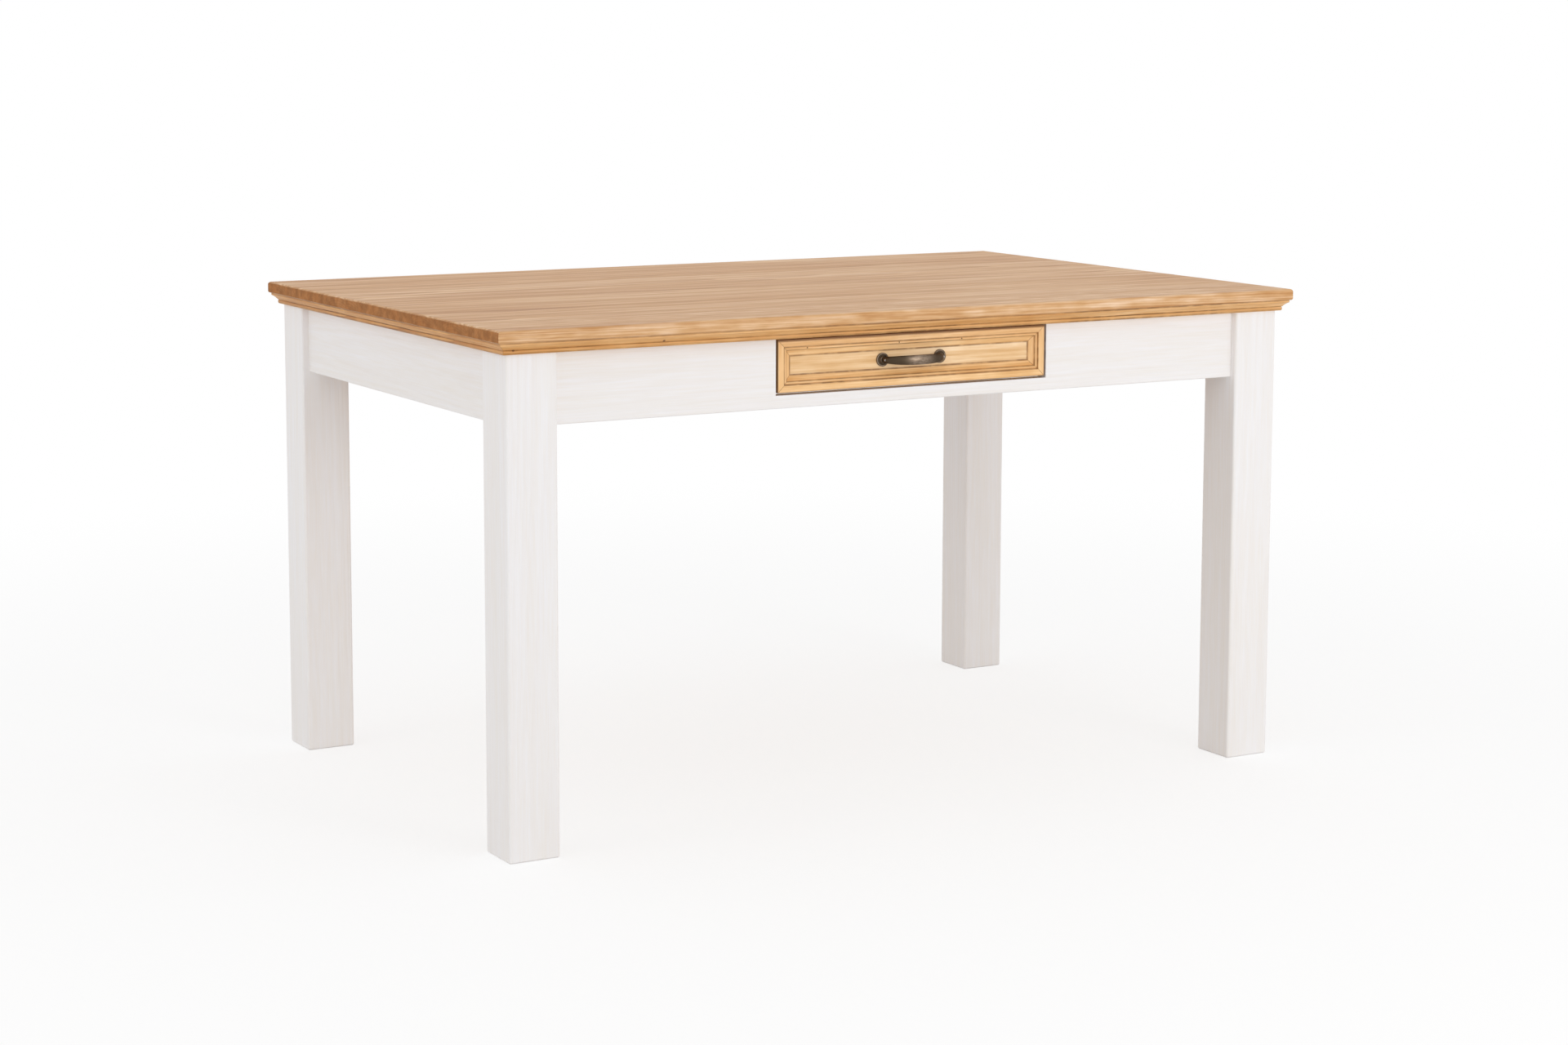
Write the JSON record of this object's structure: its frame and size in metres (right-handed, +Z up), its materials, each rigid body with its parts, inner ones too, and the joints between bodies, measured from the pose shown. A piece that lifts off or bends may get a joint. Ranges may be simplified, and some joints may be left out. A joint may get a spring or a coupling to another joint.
{
  "type": "dining table with drawer",
  "caption": "Farmhouse dining table: oiled pine top with a moulded edge on a white-stained frame of square legs, with a framed drawer and bow handle in the long side.",
  "frame": {"origin": "on the floor under the middle of the top", "axes": "+X along the length, -Y out of the drawer side, +Z up"},
  "size_m": [1.4, 0.9, 0.765],
  "materials": {
    "pine_top": "oiled, satin",
    "pine_moulding": "oiled, satin",
    "pine_drawer_front": "oiled, satin",
    "white_stained_pine": "white stain, matt",
    "plain_pine": "bare, planed",
    "beech_dowel": "bare",
    "plywood": "bare",
    "zinc_steel": "zinc plated",
    "antique_bronze": "antique, dark with worn highlights"
  },
  "bodies": {
    "table": {"angle_apron_screws": "zinc_steel", "angle_top_screws": "zinc_steel", "apron_back": "white_stained_pine", "apron_dowels": "beech_dowel", "apron_front": "white_stained_pine", "apron_left": "white_stained_pine", "apron_right": "white_stained_pine", "bearer_dowels": "beech_dowel", "corner_plate_back_left": "zinc_steel", "corner_plate_back_right": "zinc_steel", "corner_plate_front_left": "zinc_steel", "corner_plate_front_right": "zinc_steel", "corner_plate_screws": "zinc_steel", "drawer_bearer_left": "plain_pine", "drawer_bearer_right": "plain_pine", "drawer_runner_left": "plain_pine", "drawer_runner_right": "plain_pine", "drawer_stop_left": "plain_pine", "drawer_stop_right": "plain_pine", "leg_back_left": "white_stained_pine", "leg_back_right": "white_stained_pine", "leg_bolts": "zinc_steel", "leg_front_left": "white_stained_pine", "leg_front_right": "white_stained_pine", "leg_nuts": "zinc_steel", "leg_washers": "zinc_steel", "moulding_back": "pine_moulding", "moulding_front": "pine_moulding", "moulding_left": "pine_moulding", "moulding_right": "pine_moulding", "runner_screws": "zinc_steel", "top_angles": "zinc_steel", "top_board_1": "pine_top", "top_board_2": "pine_top", "top_board_3": "pine_top", "top_board_4": "pine_top", "top_board_5": "pine_top", "top_board_6": "pine_top", "top_board_7": "pine_top", "top_board_8": "pine_top"},
    "drawer": {"drawer_panel": "pine_drawer_front", "drawer_frame_top": "pine_drawer_front", "drawer_frame_right": "pine_drawer_front", "drawer_frame_bottom": "pine_drawer_front", "drawer_frame_left": "pine_drawer_front", "drawer_inner_front": "plain_pine", "drawer_back": "plain_pine", "drawer_side_left": "plain_pine", "drawer_side_right": "plain_pine", "drawer_bottom": "plywood", "drawer_dowels": "beech_dowel", "drawer_front_screws": "zinc_steel", "handle_bow": "antique_bronze", "handle_rosette_left": "antique_bronze", "handle_rosette_right": "antique_bronze", "handle_screws": "zinc_steel"}
  },
  "joints": [
    {"name": "drawer_slide", "type": "slide", "parent": "table", "child": "drawer", "axis": [0, -1, 0], "range_m": [0, 0.3]}
  ]
}
